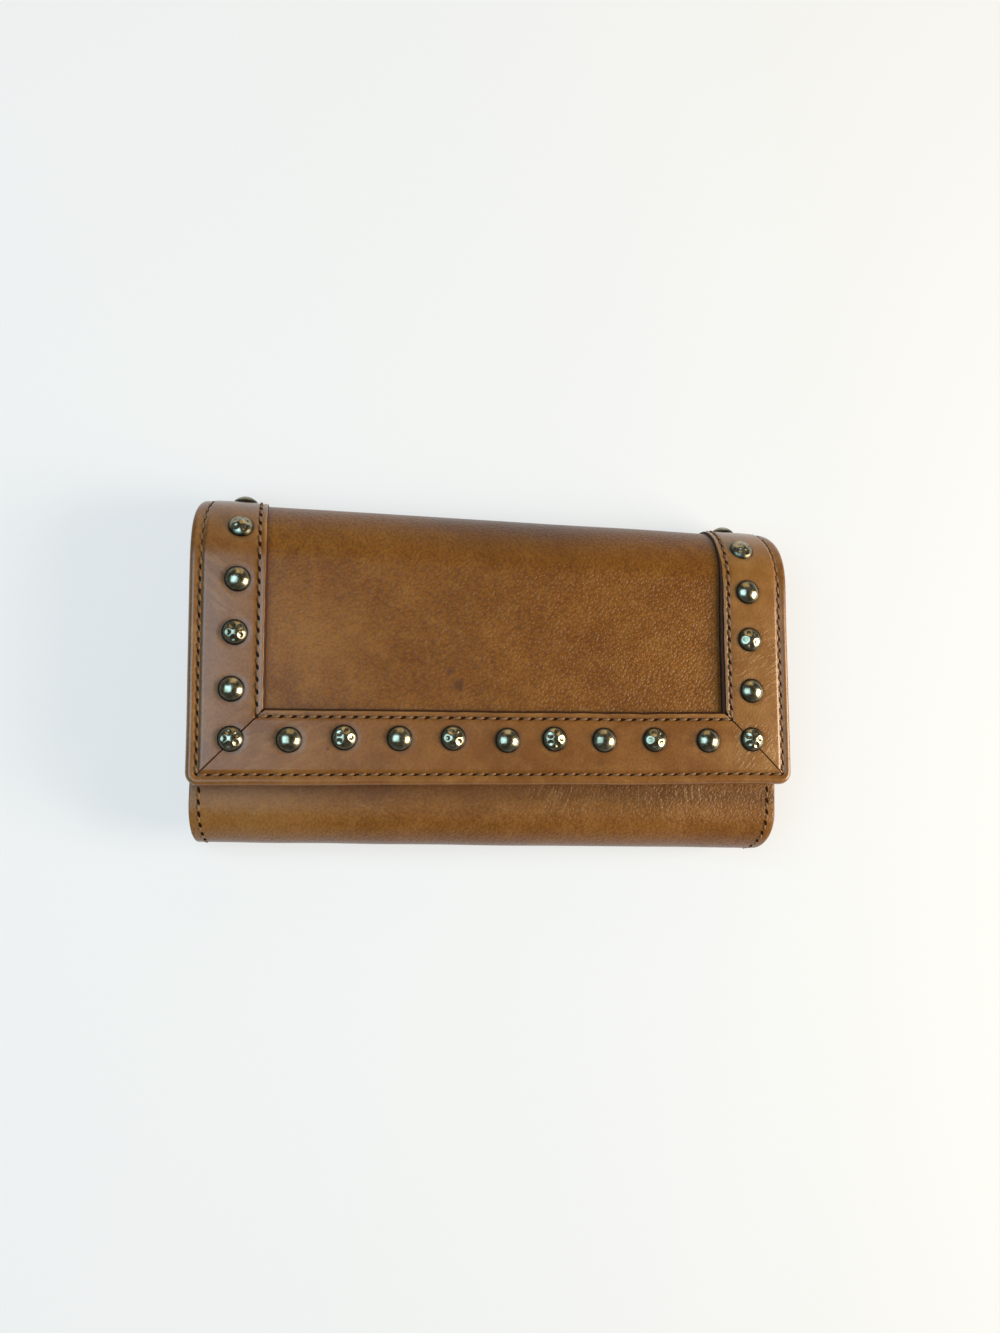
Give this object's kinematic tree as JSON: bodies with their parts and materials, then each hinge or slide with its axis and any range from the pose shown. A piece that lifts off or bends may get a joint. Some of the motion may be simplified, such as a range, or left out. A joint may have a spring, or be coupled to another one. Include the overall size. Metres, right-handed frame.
{
  "type": "long wallet",
  "caption": "Long leather wallet with a studded fold-over flap, mitred stitched strips, gusseted note compartments, a zipped coin pocket and card pockets.",
  "frame": {"origin": "on the back face, at the middle of its flat", "axes": "+X along the width, to the right as the flap is seen; +Y from the bottom fold to the top fold; +Z out of the front"},
  "size_m": [0.19, 0.11, 0.0349],
  "materials": {
    "strip_leather": "smooth tan leather, semi-matt",
    "pebbled_leather": "finely pebbled reddish-brown leather, low sheen",
    "body_leather": "plain tan leather, lightly creased",
    "inner_leather": "thin smooth brown leather",
    "lining_cloth": "dark brown woven lining",
    "zip_tape": "dark brown woven tape",
    "stud_bronze": "dark antique brass, polished on the crown",
    "zip_brass": "antique brass",
    "snap_nickel": "nickel-plated steel"
  },
  "bodies": {
    "back": {"back_panel": "body_leather", "back_lining": "lining_cloth", "left_gusset": "inner_leather", "right_gusset": "inner_leather"},
    "front": {"front_panel": "body_leather", "front_lining": "lining_cloth", "snap_socket": "snap_nickel"},
    "coin_pocket": {"coin_pocket_back": "inner_leather", "coin_pocket_front": "inner_leather", "zip_tape_back": "zip_tape", "zip_tape_front": "zip_tape", "zip_chain": "zip_brass", "zip_stop_left": "zip_brass", "zip_stop_right": "zip_brass"},
    "zip_slider": {"zip_slider": "zip_brass"},
    "zip_puller": {"zip_puller": "zip_brass"},
    "lower_fold": {"lower_fold_panel": "pebbled_leather", "lower_fold_lining": "lining_cloth", "left_strip_lower_fold": "strip_leather", "right_strip_lower_fold": "strip_leather", "plain_stud_08": "stud_bronze", "plain_stud_11": "stud_bronze"},
    "upper_fold": {"upper_fold_panel": "pebbled_leather", "upper_fold_lining": "lining_cloth", "left_strip_upper_fold": "strip_leather", "right_strip_upper_fold": "strip_leather", "hammered_stud_08": "stud_bronze", "hammered_stud_10": "stud_bronze"},
    "flap": {"flap_panel": "pebbled_leather", "flap_lining": "lining_cloth", "bottom_strip": "strip_leather", "left_strip": "strip_leather", "right_strip": "strip_leather", "card_pocket_1": "inner_leather", "card_pocket_2": "inner_leather", "card_pocket_3": "inner_leather", "snap_stud": "snap_nickel", "hammered_stud_01": "stud_bronze", "plain_stud_01": "stud_bronze", "hammered_stud_02": "stud_bronze", "plain_stud_02": "stud_bronze", "hammered_stud_03": "stud_bronze", "plain_stud_03": "stud_bronze", "hammered_stud_04": "stud_bronze", "plain_stud_04": "stud_bronze", "hammered_stud_05": "stud_bronze", "plain_stud_05": "stud_bronze", "hammered_stud_06": "stud_bronze", "plain_stud_06": "stud_bronze", "hammered_stud_07": "stud_bronze", "plain_stud_07": "stud_bronze", "plain_stud_09": "stud_bronze", "hammered_stud_09": "stud_bronze", "plain_stud_10": "stud_bronze"}
  },
  "joints": [
    {"name": "fold_back", "type": "hinge", "parent": "back", "child": "lower_fold", "pos_m": [0, 0.04844, 0.00261], "axis": [-1, 0, 0], "range_deg": [0, 100]},
    {"name": "fold_mid", "type": "hinge", "parent": "lower_fold", "child": "upper_fold", "pos_m": [0, 0.0501, 0.02178], "axis": [-1, 0, 0], "range_deg": [0, 45]},
    {"name": "fold_front", "type": "hinge", "parent": "upper_fold", "child": "flap", "pos_m": [0, 0.03595, 0.03163], "axis": [-1, 0, 0], "range_deg": [0, 33]},
    {"name": "front_open", "type": "hinge", "parent": "back", "child": "front", "pos_m": [0, -0.054, 0.0123], "axis": [1, 0, 0], "range_deg": [0, 20], "deforming": ["left_gusset", "right_gusset"]},
    {"name": "divider_open", "type": "hinge", "parent": "back", "child": "coin_pocket", "pos_m": [0, -0.054, 0.0123], "axis": [1, 0, 0], "range_deg": [0, 10]},
    {"name": "zip_slide", "type": "slide", "parent": "coin_pocket", "child": "zip_slider", "axis": [1, 0, 0], "range_m": [0, 0.116]},
    {"name": "puller_swing", "type": "hinge", "parent": "zip_slider", "child": "zip_puller", "pos_m": [-0.058, 0.0209, 0.0123], "axis": [0, 0, 1], "range_deg": [0, 180]}
  ],
  "couplings": [
    {"joint": "fold_mid", "follows": "fold_back", "ratio": 0.45},
    {"joint": "fold_front", "follows": "fold_back", "ratio": 0.33},
    {"joint": "front_open", "follows": "fold_back", "ratio": 0.2},
    {"joint": "divider_open", "follows": "fold_back", "ratio": 0.1}
  ]
}
